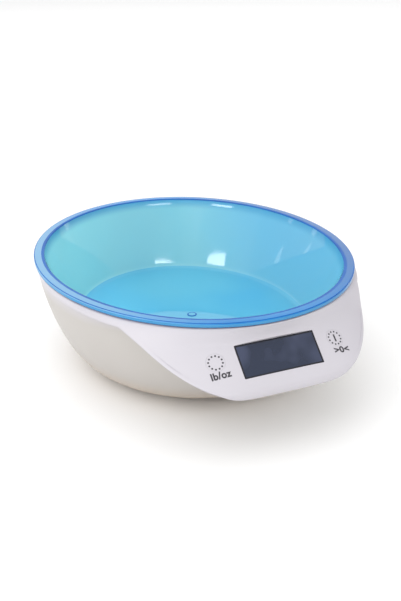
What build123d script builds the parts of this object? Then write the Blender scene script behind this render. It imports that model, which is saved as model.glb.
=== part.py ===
from build123d import *

import os
from math import cos, exp, hypot, pi, radians, sin, sqrt, tan

# A digital kitchen scale: an oval bowl stands in an oval body whose front flares into a
# sloping panel with a display between two keys. Millimetres. +Z is up and -Y is the front.
# Everything is placed about the bowl's upright axis, then moved along Y by frame_shift, so
# that the origin is under the middle of the whole object.

# Bowl
bowl_half_width = 94.0
bowl_half_length = 108.9
bowl_rim_z = 70.0
bowl_rim_width = 6.2
bowl_rim_thickness = 1.8
bowl_skirt_height = 3.0
bowl_skirt_wall = 1.6
bowl_wall = 2.0
bowl_floor_z = 26.5
bowl_floor_half_width = 68.5
bowl_floor_half_length = 81.5
bowl_floor_round = 5.0
bowl_edge_round = 0.6
gate_mark_radius = 3.0
gate_mark_height = 0.3

# Housing shell, below the bowl's rim
shell_wall = 2.2
rim_overhang = 0.9  # the bowl's rim stands out past the housing by this much
rim_gap = 1.0  # under the bowl's skirt
rim_web = 2.5
foot_height = 2.5
base_half_width = bowl_floor_half_width - 14.0
base_half_length = bowl_floor_half_length - 23.2
base_offset = 4.5  # the base sits this far behind the bowl's axis
hull_low_power = 2.34
hull_high_power = 1.23
band_height = 3.5  # of the upper housing, at the back and sides

# Sloping panel
panel_tilt = 48.4  # from upright, in degrees
panel_top_z = 58.3
panel_top_reach = 106.8
panel_bend = 2.8
panel_rim_blend = 2.8
chin_z = 37.4
chin_reach = 127.3  # the chin ends blunt, short of the edge where panel and crease meet
chin_half_width = 82.2
chin_squareness = 3.23
chin_centre = -30.1
width_power = 1.19
square_power = 0.8
visor_low_z = 32.5
visor_back_depth = 60.0
crease_start_y = -60.6
crease_arch = 0.16
belly_depth = 17.5
underside_fit = 0.15

# Recess for the bowl
recess_gap = 1.0
recess_wall = 1.6
recess_floor_wall = 1.8
recess_round = 6.0

# Weighing platform and what carries it
platform_half_width = 60.0
platform_half_length = 70.0
platform_plate = 1.5
platform_skirt_height = 2.8
platform_skirt_wall = 1.6
platform_gap = 1.2
carrier_plate = 1.5
carrier_arm_length = 104.0
carrier_arm_width = 26.0
carrier_arm_round = 6.0
carrier_boss = 14.0
carrier_boss_gap = 1.5

# Load cell
cell_length = 47.0
cell_width = 12.0
cell_height = 6.0
cell_top_z = 15.5
cell_hole_radius = 2.1
cell_hole_spacing = 8.0
cell_screw_inset = 3.2
cell_screw_spacing = 6.0
gauge_length = 16.0
gauge_coat = 1.2
stop_radius = 3.0
stop_gap = 0.6

# Screws
screw_radius = 1.5
screw_head_radius = 2.75
screw_head_height = 1.7
screw_clearance = 0.15
small_screw_radius = 0.9
small_screw_head_radius = 1.7
small_screw_head_height = 1.1
small_screw_length = 3.6
recess_drive_radius = 0.9
recess_drive_depth = 0.9
counterbore_radius = 3.1
counterbore_depth = 4.0
post_radius = 3.4
tube_radius = 4.4
tube_height = 4.5
housing_screw_bite = 7.0
front_screw_x = 38.0
front_screw_y = -22.0
rear_screw_x = 38.0
rear_screw_y = 23.0

# Feet
foot_radius = 5.0
foot_seat = 0.8
foot_x = 30.0
front_foot_y = -32.0
rear_foot_y = 41.0
foot_round = 0.8

# Display, measured in the panel's own plane
window_width = 46.3
window_height = 18.8
window_fit = 0.1
window_thickness = 1.2
window_sink = 0.8
window_ledge = 1.6
window_seat_depth = 3.4
window_seat_margin = 2.0
tape_thickness = 0.2
window_y = -114.4
window_z = 51.9
glass_width = 44.5
glass_height = 17.0
glass_thickness = 2.0
glass_gap = 0.1
glass_plate_step = 1.6
frame_width = 49.0
frame_height = 19.2
frame_fit = 0.2
strip_width = 2.0
strip_inset = 0.4

# Circuit board
board_depth = 7.8  # of its front face, below the window's plane
board_thickness = 1.6
board_width = 82.0
board_low = -8.3
board_high = 9.5
board_corner_width = 9.0
board_corner_height = 6.5
board_screw_low = (26.6, -6.3)
board_screw_high = (26.6, 7.3)
board_boss_radius = 1.8
chip_radius = 6.0
chip_height = 1.4
chip_x = -14.0
crystal_size = (6.5, 2.4, 2.0)
crystal_x = 2.0
crystal_y = -2.0
capacitor_radius = 2.0
capacitor_height = 3.8
capacitor_x = 20.0
capacitor_y = 2.0
component_size = (2.0, 1.25, 0.6)
component_count = 6
component_pitch = 4.0
component_x = 4.0
component_y = -5.8

# Keys
key_x = 35.0
key_y = 3.0
key_radius = 4.9
key_gap = 0.2
key_seat_depth = 4.4
key_seat_radius = 7.2
key_flange_radius = 5.8
key_flange_thickness = 0.8
key_flange_gap = 0.1
key_pocket_depth = 2.6  # room for the flange where the panel curves back
key_stem_radius = 1.6
key_travel = 0.3
switch_size = 6.0
switch_height = 1.8
plunger_radius = 1.5
plunger_fit = 0.08
plunger_depth = 1.2
plunger_gap = 0.05
leg_size = (1.2, 0.8, 0.5)

# Battery compartment
battery_radius = 5.25
battery_length = 43.5
battery_nub_radius = 1.9
battery_nub_length = 1.0
battery_gap = 0.4
battery_wrap_round = 0.4
bay_half_length = 26.0
bay_wall = 1.4
bay_front_y = 10.5
door_thickness = 1.8
door_gap = 0.2
door_tab_width = 5.0
door_tab_length = 1.1
door_tab_thickness = 1.2
door_tab_spacing = 30.0
door_grip_radius = 5.0
door_grip_depth = 0.8
door_ledge = 2.0
contact_thickness = 0.4
contact_width = 7.0
contact_fold = 1.1
contact_spring_gap = 0.15  # keeps the bend of the spring off the cell's end
contact_tab_width = 2.4
contact_tab_thickness = 0.8
contact_tab_reach = 1.2  # past the outside of the bay
contact_tab_fit = 0.1

# Leads
lead_radius = 0.45
lead_floor_gap = 0.45
cell_lead_spacing = 1.3
cell_lead_count = 4
battery_lead_x = (-30.8, -32.5)  # along the base, for the positive and the negative lead
battery_lead_rise_x = (-6.0, -7.8)  # up the front of the housing
lead_board_y = 6.5
lead_board_drop = 4.4
# How far up the hull's front the leads bend, and how deep under its outside.
lead_rise = ((0.043, 3.05), (0.22, 4.45), (0.468, 4.15), (0.597, 2.95), (0.651, 3.25),
             (0.787, 4.1), (0.867, 4.15))

skirt_z = bowl_rim_z - bowl_skirt_height
rim_z = skirt_z - rim_gap
rim_half_width = bowl_half_width - rim_overhang
rim_half_length = bowl_half_length - rim_overhang
base_z = foot_height
base_floor_z = base_z + shell_wall
bowl_under_z = bowl_floor_z - bowl_wall
platform_under_z = bowl_under_z - platform_plate
carrier_under_z = platform_under_z - carrier_plate
recess_floor_z = carrier_under_z - platform_gap
recess_under_z = recess_floor_z - recess_floor_wall
cell_under_z = cell_top_z - cell_height
cell_free_x = cell_length / 2 - cell_screw_inset - cell_screw_spacing / 2
cell_fixed_x = -cell_free_x
battery_z = base_z + door_thickness + battery_gap / 2 + battery_radius
bay_back_y = bay_front_y + 4 * battery_radius + 3 * battery_gap
bay_middle_y = (bay_front_y + bay_back_y) / 2
bay_roof_z = battery_z + battery_radius + battery_gap
front_battery_y = bay_front_y + battery_gap + battery_radius
rear_battery_y = bay_back_y - battery_gap - battery_radius
board_back = board_depth + board_thickness
board_middle_y = (board_low + board_high) / 2
board_height = board_high - board_low
key_flange_depth = key_seat_depth + key_flange_gap
switch_top = board_depth - switch_height
stem_end = switch_top - key_travel - plunger_gap
beyond = 2 * bowl_half_length  # clear of the whole object on every side


# Outlines. The hull's half width, half length and height follow one spread, from 0 at the
# base to 1 under the bowl's skirt, where it is trimmed to leave the rim gap.


def hull_height(spread):
    climb = 1 - (1 - spread**hull_low_power) ** (1 / hull_high_power)
    return base_z + (skirt_z - base_z) * climb


def hull_ring(spread, wall):
    low = max(spread - 0.01, 0.0)
    high = min(spread + 0.01, 1.0)
    run = (rim_half_width - base_half_width) * (high - low)
    rise = hull_height(high) - hull_height(low)
    inward = wall * rise / hypot(run, rise)
    upward = wall * run / hypot(run, rise)
    half_width = base_half_width + (rim_half_width - base_half_width) * spread - inward
    half_length = base_half_length + (rim_half_length - base_half_length) * spread - inward
    middle_y = base_offset * (1 - spread)
    return half_width, half_length, middle_y, hull_height(spread) + upward


def hull_section(spread, wall):
    half_width, half_length, middle_y, z = hull_ring(spread, wall)
    return Pos(0, middle_y, z) * Ellipse(half_width, half_length)


def hull(wall=0.0):
    return loft([hull_section(spread, wall) for spread in (0, 0.2, 0.4, 0.6, 0.8, 0.92, 1)])


# The visor is the flared front. Its outline is an ellipse at the top and grows squarer as
# it goes down; its front reach is upright under the skirt, then follows the panel's tilt.


def panel_reach(z):
    run = (panel_top_z - z) * tan(radians(panel_tilt))
    lean = panel_top_reach + (run + hypot(run, panel_bend)) / 2
    blend = exp(-(skirt_z - z) / panel_rim_blend)
    return lean * (1 - blend) + rim_half_length * blend


def visor_shape(z):
    drop = (skirt_z - z) / (skirt_z - chin_z)
    centre_y = chin_centre * drop
    half_width = rim_half_width + (chin_half_width - rim_half_width) * drop**width_power
    square = 2 + (chin_squareness - 2) * drop**square_power
    return half_width, centre_y, square


def visor_half_width(y, z):
    half_width, centre_y, square = visor_shape(z)
    share = min(max((centre_y - y) / (panel_reach(z) + centre_y), 0.0), 0.999)
    return half_width * (1 - share**square) ** (1 / square)


def visor_section(z, wall):
    half_width, centre_y, square = visor_shape(z)
    slope = panel_reach(z - 0.5) - panel_reach(z + 0.5)
    front = panel_reach(z) + centre_y - wall * hypot(1, slope)
    count = 28
    points = []
    for step in range(count):
        turn = pi + 2 * pi * step / count
        power = square if cos(turn) > 0 else 2
        depth = front if cos(turn) > 0 else visor_back_depth - wall
        ray = (abs(sin(turn)) ** power + abs(cos(turn)) ** power) ** (-1 / power)
        x = (half_width - wall) * ray * sin(turn)
        points.append((x, centre_y - depth * ray * cos(turn), z))
    return make_face(Spline(*points, periodic=True))


def visor(wall=0.0, top_z=skirt_z):
    shares = (0, 0.1, 0.2, 0.3, 0.42, 0.6, 0.8, 1)
    return loft([visor_section(top_z - share * (top_z - visor_low_z), wall) for share in shares])


# The crease is level along the band, then falls to the chin. Between its two sides the
# underside bulges down in a belly that makes room for the board.


def crease_share(y):
    return (crease_start_y - y) / (panel_reach(chin_z) + crease_start_y)


def crease_z(y):
    share = crease_share(y)
    return skirt_z - (skirt_z - chin_z) * share * (1 - crease_arch * (1 - share))


def crease_bend_y():
    # Where the falling line leaves the level band, by halving the interval.
    level = rim_z - band_height
    high_y, low_y = crease_start_y, -panel_reach(chin_z)
    for _ in range(30):
        middle_y = (high_y + low_y) / 2
        if crease_z(middle_y) > level:
            high_y = middle_y
        else:
            low_y = middle_y
    return high_y


def belly(y):
    start = crease_share(crease_bend_y())
    share = min(max((crease_share(y) - start) / (1 - start), 0.0), 1.0)
    return belly_depth * share**0.7 * (1 - share**4)


def belly_section(y, lift):
    edge_z = crease_z(y) + lift
    edge_x = max(visor_half_width(y, crease_z(y)), chin_half_width / 5)
    points = []
    for step in range(-4, 5):
        share = 1.1 * step / 4
        points.append((share * edge_x, y, edge_z - belly(y) * (1 - share**4)))
    under = Spline(*points)
    shoulder_z = points[0][2]
    outline = under
    outline += Line(points[-1], (beyond, y, shoulder_z))
    outline += Line((beyond, y, shoulder_z), (beyond, y, beyond))
    outline += Line((beyond, y, beyond), (-beyond, y, beyond))
    outline += Line((-beyond, y, beyond), (-beyond, y, shoulder_z))
    outline += Line((-beyond, y, shoulder_z), points[0])
    return make_face(outline)


def above_crease(lift=0.0):
    bend_y = crease_bend_y()
    reach = -panel_reach(chin_z) - bend_y
    shares = (0, 0.2, 0.45, 0.7, 0.88, 1, 1.12)
    front = loft([belly_section(bend_y + reach * share, lift) for share in shares])
    level = rim_z - band_height + lift
    back = block((-beyond, beyond), (bend_y, beyond), (level, beyond))
    return front + back


def behind_chin(wall=0.0):
    return block((-beyond, beyond), (wall - chin_reach, beyond), (-beyond, beyond))


def panel_place(x=0.0, y=0.0, depth=0.0):
    plane = Plane(
        origin=(0, window_y, window_z),
        x_dir=(1, 0, 0),
        z_dir=(0, -cos(radians(panel_tilt)), sin(radians(panel_tilt))),
    )
    return plane.location * Pos(x, y, -depth)


def plate_in_panel(width, height, front, back, x=0.0, y=0.0):
    middle = (front + back) / 2
    return panel_place(x, y, middle) * Box(width, height, back - front)


def disc_in_panel(radius, front, back, x=0.0, y=0.0):
    return panel_place(x, y, (front + back) / 2) * Cylinder(radius, back - front)


def post(radius, low_z, high_z, x=0.0, y=0.0):
    return Pos(x, y, (low_z + high_z) / 2) * Cylinder(radius, high_z - low_z)


def block(x_range, y_range, z_range):
    middle = [(low + high) / 2 for low, high in (x_range, y_range, z_range)]
    size = [high - low for low, high in (x_range, y_range, z_range)]
    return Pos(*middle) * Box(*size)


def edges_at_z(part, z, reach=0.05):
    return part.edges().filter_by_position(Axis.Z, z - reach, z + reach)


# Bowl


def bowl_wall_share(z):
    return (z - bowl_floor_z) / (bowl_rim_z - bowl_floor_z)


def bowl_oval(z, outward):
    share = bowl_wall_share(z)
    width_step = bowl_half_width - bowl_rim_width - bowl_floor_half_width
    length_step = bowl_half_length - bowl_rim_width - bowl_floor_half_length
    return Pos(0, 0, z) * Ellipse(
        bowl_floor_half_width + width_step * share + outward,
        bowl_floor_half_length + length_step * share + outward,
    )


def bowl():
    outside = loft([bowl_oval(bowl_under_z, bowl_wall), bowl_oval(bowl_rim_z, bowl_wall)])
    outside = fillet(edges_at_z(outside, bowl_under_z), bowl_floor_round + bowl_wall)
    inside = loft([bowl_oval(bowl_floor_z, 0), bowl_oval(bowl_rim_z + 1, 0)])
    inside = fillet(edges_at_z(inside, bowl_floor_z), bowl_floor_round)
    rim = extrude(Pos(0, 0, skirt_z) * Ellipse(bowl_half_width, bowl_half_length), bowl_skirt_height)
    rim = fillet(edges_at_z(rim, bowl_rim_z), bowl_edge_round)
    under_rim = extrude(
        Pos(0, 0, skirt_z - 1)
        * Ellipse(bowl_half_width - bowl_skirt_wall, bowl_half_length - bowl_skirt_wall),
        bowl_skirt_height - bowl_rim_thickness + 1,
    )
    dish = rim - under_rim + outside - inside
    mark = post(gate_mark_radius, bowl_floor_z - bowl_wall / 2, bowl_floor_z + gate_mark_height)
    return dish + mark


# Recess that the bowl sits in


def recess(outward, floor_z):
    low = bowl_oval(floor_z, outward)
    high = bowl_oval(rim_z, outward)
    return loft([low, high])


def recess_inside():
    gap = bowl_wall + recess_gap
    well = recess(gap, recess_floor_z)
    well = fillet(edges_at_z(well, recess_floor_z), recess_round)
    top = bowl_oval(rim_z, gap)
    return well + extrude(top, 2)


def recess_outside():
    tray = recess(bowl_wall + recess_gap + recess_wall, recess_under_z)
    return fillet(edges_at_z(tray, recess_under_z), recess_round + recess_wall)


# Upper housing: rim band, sloping panel and recess in one moulding


def trim_top():
    return block((-beyond, beyond), (-beyond, beyond), (rim_z, 2 * rim_z))


def screw_places():
    return [
        (side * x, y)
        for x, y in ((front_screw_x, front_screw_y), (rear_screw_x, rear_screw_y))
        for side in (-1, 1)
    ]


def key_places():
    return {"unit": -key_x, "tare": key_x}


def board_screw_places():
    return [(side * x, y) for x, y in (board_screw_low, board_screw_high) for side in (-1, 1)]


def window_hole(margin, front, back):
    return plate_in_panel(window_width + 2 * margin, window_height + 2 * margin, front, back)


def upper_seats():
    seats = [window_hole(window_seat_margin, shell_wall / 2, window_seat_depth)]
    for x in key_places().values():
        seats.append(disc_in_panel(key_seat_radius, key_seat_depth - 1.6, key_seat_depth, x, key_y))
    for x, y in board_screw_places():
        seats.append(disc_in_panel(board_boss_radius, board_depth - 5.4, board_depth, x, y))
    return seats


def upper_holes():
    holes = [
        window_hole(0, -3, window_sink + window_thickness + tape_thickness),
        window_hole(-window_ledge, 0, window_seat_depth + 1),
    ]
    for x in key_places().values():
        holes.append(disc_in_panel(key_radius + key_gap, -3, key_seat_depth + 1, x, key_y))
        pocket_radius = key_flange_radius + key_gap
        pocket_end = key_seat_depth + key_pocket_depth
        holes.append(disc_in_panel(pocket_radius, key_seat_depth, pocket_end, x, key_y))
    for x, y in board_screw_places():
        holes.append(
            disc_in_panel(small_screw_radius, board_depth - small_screw_length, board_depth, x, y)
        )
    boss_room = carrier_boss + 2 * carrier_boss_gap
    holes.append(
        Pos(cell_free_x, 0, recess_floor_z) * Box(boss_room, boss_room, 4 * recess_floor_wall)
    )
    return holes


def upper_housing():
    room_top_z = rim_z - rim_web
    lid = block((-beyond, beyond), (-beyond, beyond), (room_top_z, beyond))
    solid_visor = visor() & above_crease()
    body = solid_visor + (hull() & above_crease())
    body -= hull(shell_wall) - lid
    body -= visor(shell_wall, room_top_z)
    body = body & behind_chin()
    body += (solid_visor & behind_chin()) - behind_chin(shell_wall)
    body += recess_outside()
    body -= recess_inside()
    body -= trim_top()
    for seat in upper_seats():
        body += seat
    for hole in upper_holes():
        body -= hole
    post_foot_z = base_floor_z + tube_height
    for x, y in screw_places():
        body += post(post_radius, post_foot_z, recess_under_z + recess_floor_wall / 2, x, y)
        body -= post(screw_radius, post_foot_z, post_foot_z + housing_screw_bite, x, y)
    return body


# Lower housing: hull, underside plate, battery bay, load cell seat and screw tubes


def battery_bay():
    outside = block(
        (-bay_half_length - bay_wall, bay_half_length + bay_wall),
        (bay_front_y - bay_wall, bay_back_y + bay_wall),
        (base_z, bay_roof_z + bay_wall),
    )
    return outside


def battery_bay_inside():
    return block(
        (-bay_half_length, bay_half_length),
        (bay_front_y, bay_back_y),
        (0, bay_roof_z),
    )


def contact_tab(y, outward=0.0):
    # The tab that a lead is soldered to stands out through the end wall of the bay.
    half = contact_tab_width / 2 + outward
    middle_z = battery_z - contact_width / 4
    return block(
        (-bay_half_length - bay_wall - contact_tab_reach, -bay_half_length),
        (y - half, y + half),
        (middle_z - contact_tab_thickness / 2 - outward, middle_z + contact_tab_thickness / 2 + outward),
    )


def door_ledges():
    ledge_z = base_z + door_thickness
    parts = Part()
    for side in (-1, 1):
        for y in (bay_front_y + door_ledge / 2, bay_back_y - door_ledge / 2):
            x = side * (bay_half_length - door_ledge / 2)
            parts += Pos(x, y, ledge_z + door_ledge / 2) * Box(door_ledge, door_ledge, door_ledge)
    return parts


def door_tab_slots():
    slots = Part()
    for side in (-1, 1):
        x = side * door_tab_spacing / 2
        half = door_tab_width / 2 + door_gap
        slots += block(
            (x - half, x + half),
            (bay_front_y - bay_wall - 1, bay_front_y + 1),
            (base_z, base_z + 2 * door_thickness),
        )
    return slots


def foot_places():
    return {
        "front_left_foot": (-foot_x, front_foot_y),
        "front_right_foot": (foot_x, front_foot_y),
        "rear_left_foot": (-foot_x, rear_foot_y),
        "rear_right_foot": (foot_x, rear_foot_y),
    }


def cell_screw_places(middle_x):
    return [(middle_x + side * cell_screw_spacing / 2, 0) for side in (-1, 1)]


def lower_housing():
    inset = shell_wall + underside_fit
    plate = visor(inset, rim_z - rim_web - underside_fit) & above_crease() & behind_chin(inset)
    body = (hull() - above_crease()) + (plate - above_crease(shell_wall))
    body -= hull(shell_wall)
    seat_length = 2 * cell_screw_inset + cell_screw_spacing
    solids = [
        block(
            (cell_fixed_x - seat_length / 2, cell_fixed_x + seat_length / 2),
            (-cell_width / 2 - 1, cell_width / 2 + 1),
            (base_z, cell_under_z),
        ),
        post(stop_radius, base_z, cell_under_z - stop_gap, cell_free_x, 0),
        battery_bay(),
    ]
    for x, y in screw_places():
        solids.append(post(tube_radius, base_z, base_floor_z + tube_height, x, y))
    holes = [battery_bay_inside(), door_tab_slots()]
    for y in (front_battery_y, rear_battery_y):
        holes.append(contact_tab(y, contact_tab_fit))
    for x, y in screw_places() + cell_screw_places(cell_fixed_x):
        holes.append(post(counterbore_radius, 0, base_z + counterbore_depth, x, y))
        holes.append(post(screw_radius + screw_clearance, base_z, cell_under_z + 1, x, y))
    for x, y in foot_places().values():
        holes.append(post(foot_radius, 0, base_z + foot_seat, x, y))
    return body + solids - holes + door_ledges()


# Weighing platform


def oval_plate(half_width, half_length, low_z, high_z):
    return extrude(Pos(0, 0, low_z) * Ellipse(half_width, half_length), high_z - low_z)


def weighing_platform():
    low_z = bowl_under_z - platform_skirt_height
    plate = oval_plate(platform_half_width, platform_half_length, low_z, bowl_under_z)
    plate = fillet(edges_at_z(plate, bowl_under_z), platform_plate / 2)
    room = oval_plate(
        platform_half_width - platform_skirt_wall,
        platform_half_length - platform_skirt_wall,
        low_z,
        platform_under_z,
    )
    return plate - room


def load_carrier():
    length = carrier_arm_length
    middle_z = (carrier_under_z + platform_under_z) / 2
    arms = Box(length, carrier_arm_width, carrier_plate) + Box(carrier_arm_width, length, carrier_plate)
    arms = fillet(arms.edges().filter_by(Axis.Z), carrier_arm_round)
    boss = block(
        (cell_free_x - carrier_boss / 2, cell_free_x + carrier_boss / 2),
        (-carrier_boss / 2, carrier_boss / 2),
        (cell_top_z, carrier_under_z + carrier_plate / 2),
    )
    body = Pos(0, 0, middle_z) * arms + boss
    for x, y in cell_screw_places(cell_free_x):
        body -= post(screw_radius + screw_clearance, cell_top_z, platform_under_z, x, y)
        body -= post(counterbore_radius, carrier_head_z(), platform_under_z, x, y)
    return body


def carrier_head_z():
    return platform_under_z - screw_head_height - 2 * screw_clearance


# Load cell: a bending beam weakened by two cross holes joined by a slot


def load_cell():
    middle_z = cell_top_z - cell_height / 2
    beam = Pos(0, 0, middle_z) * Box(cell_length, cell_width, cell_height)
    for side in (-1, 1):
        beam -= Pos(side * cell_hole_spacing / 2, 0, middle_z) * Rot(90, 0, 0) * Cylinder(
            cell_hole_radius, cell_width
        )
    beam -= Pos(0, 0, middle_z) * Box(cell_hole_spacing, cell_width, cell_hole_radius)
    for x, y in cell_screw_places(cell_fixed_x) + cell_screw_places(cell_free_x):
        beam -= post(screw_radius, cell_under_z, cell_top_z, x, y)
    return beam


def gauge_coating():
    low_z = cell_under_z - gauge_coat / 2
    coat = Pos(0, 0, low_z) * Box(gauge_length, cell_width - 2, gauge_coat)
    return fillet(coat.edges().filter_by(Axis.Z), 1.5)


# Screws


def screw(head_z, tip_z, x, y, radius, head_radius, head_height, point=1):
    # A pan head starts at head_z and the shank runs to tip_z.
    away = 1 if head_z > tip_z else -1
    head = post(head_radius, min(head_z, head_z + away * head_height),
                max(head_z, head_z + away * head_height), x, y)
    shank = post(radius, min(head_z, tip_z), max(head_z, tip_z), x, y)
    face_z = head_z + away * head_height
    drive = Pos(x, y, face_z) * (
        Box(2 * recess_drive_radius, recess_drive_radius / 2, 2 * recess_drive_depth)
        + Box(recess_drive_radius / 2, 2 * recess_drive_radius, 2 * recess_drive_depth)
    )
    rim = edges_at_z(head, face_z)
    return fillet(rim, head_height / 3) + shank - drive


def screw_set(places, head_z, tip_z):
    screws = [
        screw(head_z, tip_z, x, y, screw_radius, screw_head_radius, screw_head_height)
        for x, y in places
    ]
    return Compound(screws)


def board_screws():
    screws = []
    for x, y in board_screw_places():
        upright = screw(
            0, small_screw_length, 0, 0,
            small_screw_radius, small_screw_head_radius, small_screw_head_height,
        )
        screws.append(panel_place(x, y, board_back) * upright)
    return Compound(screws)


# Feet


def foot(x, y):
    body = post(foot_radius, 0, base_z + foot_seat, x, y)
    return fillet(edges_at_z(body, 0), foot_round)


# Display


def display_window():
    front = window_sink
    body = plate_in_panel(
        window_width - 2 * window_fit,
        window_height - 2 * window_fit,
        front,
        front + window_thickness,
    )
    return body


def window_tape():
    front = window_sink + window_thickness
    back = front + tape_thickness
    outer = plate_in_panel(window_width - 2 * window_fit, window_height - 2 * window_fit, front, back)
    inner = plate_in_panel(
        window_width - 2 * window_ledge, window_height - 2 * window_ledge, front, back
    )
    return outer - inner


def display_glass():
    front = window_seat_depth + glass_gap
    half = glass_thickness / 2
    face = plate_in_panel(
        glass_width, glass_height - glass_plate_step, front, front + half, 0, 0
    )
    backing = plate_in_panel(glass_width, glass_height, front + half, front + glass_thickness)
    return face + backing


def display_frame():
    front = window_seat_depth + glass_gap
    outer = plate_in_panel(frame_width, frame_height, front, board_depth)
    inner = plate_in_panel(
        glass_width + 2 * frame_fit, glass_height + 2 * frame_fit, front, board_depth
    )
    return outer - inner


def contact_strips():
    front = window_seat_depth + glass_gap + glass_thickness
    y = glass_height / 2 - strip_inset - strip_width / 2
    width = glass_width - 2 * strip_inset
    strips = [
        plate_in_panel(width, strip_width, front, board_depth, 0, side * y) for side in (-1, 1)
    ]
    return Compound(strips)


# Circuit board


def circuit_board():
    body = plate_in_panel(board_width, board_height, board_depth, board_back, 0, board_middle_y)
    for side in (-1, 1):
        corner = Polygon(
            (side * board_width / 2, board_low),
            (side * (board_width / 2 - board_corner_width), board_low),
            (side * board_width / 2, board_low + board_corner_height),
            align=None,
        )
        body -= extrude(panel_place(0, 0, board_depth) * corner, 2 * board_thickness, both=True)
    for x, y in board_screw_places():
        body -= disc_in_panel(small_screw_radius + screw_clearance, board_depth, board_back, x, y)
    return body


def controller_chip():
    body = Cylinder(chip_radius, chip_height)
    body = fillet(body.edges().filter_by(GeomType.CIRCLE).sort_by(Axis.Z)[0], chip_height * 0.8)
    return panel_place(chip_x, 0, board_back + chip_height / 2) * body


def crystal_can():
    length, width, height = crystal_size
    body = fillet(Box(length, width, height).edges().filter_by(Axis.Z), width / 2 - 0.01)
    return panel_place(crystal_x, crystal_y, board_back + height / 2) * body


def storage_capacitor():
    body = Cylinder(capacitor_radius, capacitor_height)
    body = fillet(body.edges().sort_by(Axis.Z)[0], 0.4)
    return panel_place(capacitor_x, capacitor_y, board_back + capacitor_height / 2) * body


def board_components():
    width, height, thickness = component_size
    rows = []
    for number in range(component_count):
        x = (number - (component_count - 1) / 2) * component_pitch
        rows.append(
            plate_in_panel(
                width,
                height,
                board_back,
                board_back + thickness,
                component_x + x,
                component_y,
            )
        )
    return Compound(rows)


# Keys and their switches


def key(x):
    cap = (visor() & disc_in_panel(key_radius, -6, key_flange_depth, x, key_y))
    flange = disc_in_panel(
        key_flange_radius, key_flange_depth, key_flange_depth + key_flange_thickness, x, key_y
    )
    stem = disc_in_panel(key_stem_radius, key_flange_depth, stem_end, x, key_y)
    return cap + flange + stem


def key_switch(x):
    body = plate_in_panel(switch_size, switch_size, switch_top, board_depth, x, key_y)
    body -= disc_in_panel(
        plunger_radius + plunger_fit, switch_top - 1, switch_top + plunger_depth, x, key_y
    )
    length, width, thickness = leg_size
    for side in (-1, 1):
        for end in (-1, 1):
            body += plate_in_panel(
                length,
                width,
                board_depth - thickness,
                board_depth,
                x + side * (switch_size + length) / 2,
                key_y + end * switch_size / 3,
            )
    return body


def switch_plunger(x):
    front = stem_end + plunger_gap
    back = switch_top + plunger_depth - key_travel - plunger_gap
    return disc_in_panel(plunger_radius, front, back, x, key_y)


# Batteries, their contacts and the door


def battery(y, positive_side):
    can = Rot(0, 90, 0) * Cylinder(battery_radius, battery_length)
    can = fillet(can.edges().filter_by(GeomType.CIRCLE), battery_wrap_round)
    nub_x = positive_side * (battery_length / 2 + battery_nub_length / 2)
    nub = Pos(nub_x, 0, 0) * Rot(0, 90, 0) * Cylinder(battery_nub_radius, battery_nub_length)
    shift = -positive_side * battery_nub_length / 2
    return Pos(shift, y, battery_z) * (can + nub)


def battery_end_x():
    return (battery_length + battery_nub_length) / 2


def contact_leaf(side, y):
    # A strip folded back on itself, pressing on the cell's flat end.
    wall_x = bay_half_length - contact_thickness
    end_x = battery_end_x()
    low = battery_z - contact_width / 2
    high = battery_z + contact_width / 2
    step = (wall_x - end_x) / 3
    path = Polyline(
        (wall_x - 0.1, high - contact_fold),
        (wall_x - step, battery_z + contact_width / 4),
        (end_x + contact_thickness / 2 + contact_spring_gap, battery_z),
        (wall_x - step, battery_z - contact_width / 4),
        (wall_x - 0.1, low + contact_fold),
    )
    strip = offset(path, contact_thickness / 2, kind=Kind.INTERSECTION)
    leaf = extrude(Plane.XZ * make_face(strip.edges()), contact_width / 2, both=True)
    plate = block(
        (wall_x, bay_half_length),
        (-contact_width / 2, contact_width / 2),
        (low, high),
    )
    body = leaf + plate
    if side < 0:
        body = Rot(0, 0, 180) * body
    return Pos(0, y, 0) * body


def contact_button(side, y):
    wall_x = bay_half_length - contact_thickness
    plate = block(
        (wall_x, bay_half_length),
        (-contact_width / 2, contact_width / 2),
        (battery_z - contact_width / 2, battery_z + contact_width / 2),
    )
    length = wall_x - battery_end_x()
    bump = Pos(wall_x - length / 2, 0, battery_z) * Rot(0, 90, 0) * Cylinder(
        battery_nub_radius, length
    )
    body = plate + bump
    if side < 0:
        body = Rot(0, 0, 180) * body
    return Pos(0, y, 0) * body


def link_contact():
    bridge = block(
        (bay_half_length - contact_thickness, bay_half_length),
        (front_battery_y, rear_battery_y),
        (battery_z - contact_width / 4, battery_z + contact_width / 4),
    )
    return contact_leaf(1, front_battery_y) + contact_button(1, rear_battery_y) + bridge


def battery_door():
    plate = block(
        (-bay_half_length + door_gap, bay_half_length - door_gap),
        (bay_front_y + door_gap, bay_back_y - door_gap),
        (base_z, base_z + door_thickness),
    )
    tab_low_z = base_z + (door_thickness - door_tab_thickness) / 2
    for side in (-1, 1):
        x = side * door_tab_spacing / 2
        plate += block(
            (x - door_tab_width / 2, x + door_tab_width / 2),
            (bay_front_y - door_tab_length, bay_front_y + 1),
            (tab_low_z, tab_low_z + door_tab_thickness),
        )
    grip = Pos(0, bay_back_y - door_grip_radius - 1.5, base_z) * Cylinder(
        door_grip_radius, 2 * door_grip_depth
    )
    return plate - grip


# Leads


def lead(points):
    radii = []
    for before, corner, after in zip(points, points[1:], points[2:]):
        first = Vector(*corner) - Vector(*before)
        second = Vector(*after) - Vector(*corner)
        turn = radians(first.get_angle(second))
        radii.append(0.45 * min(first.length, second.length) / tan(turn / 2))
    path = FilletPolyline(*points, radius=radii)
    start = Plane(origin=path @ 0, z_dir=path % 0)
    return sweep(start * Circle(lead_radius), path)


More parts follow.
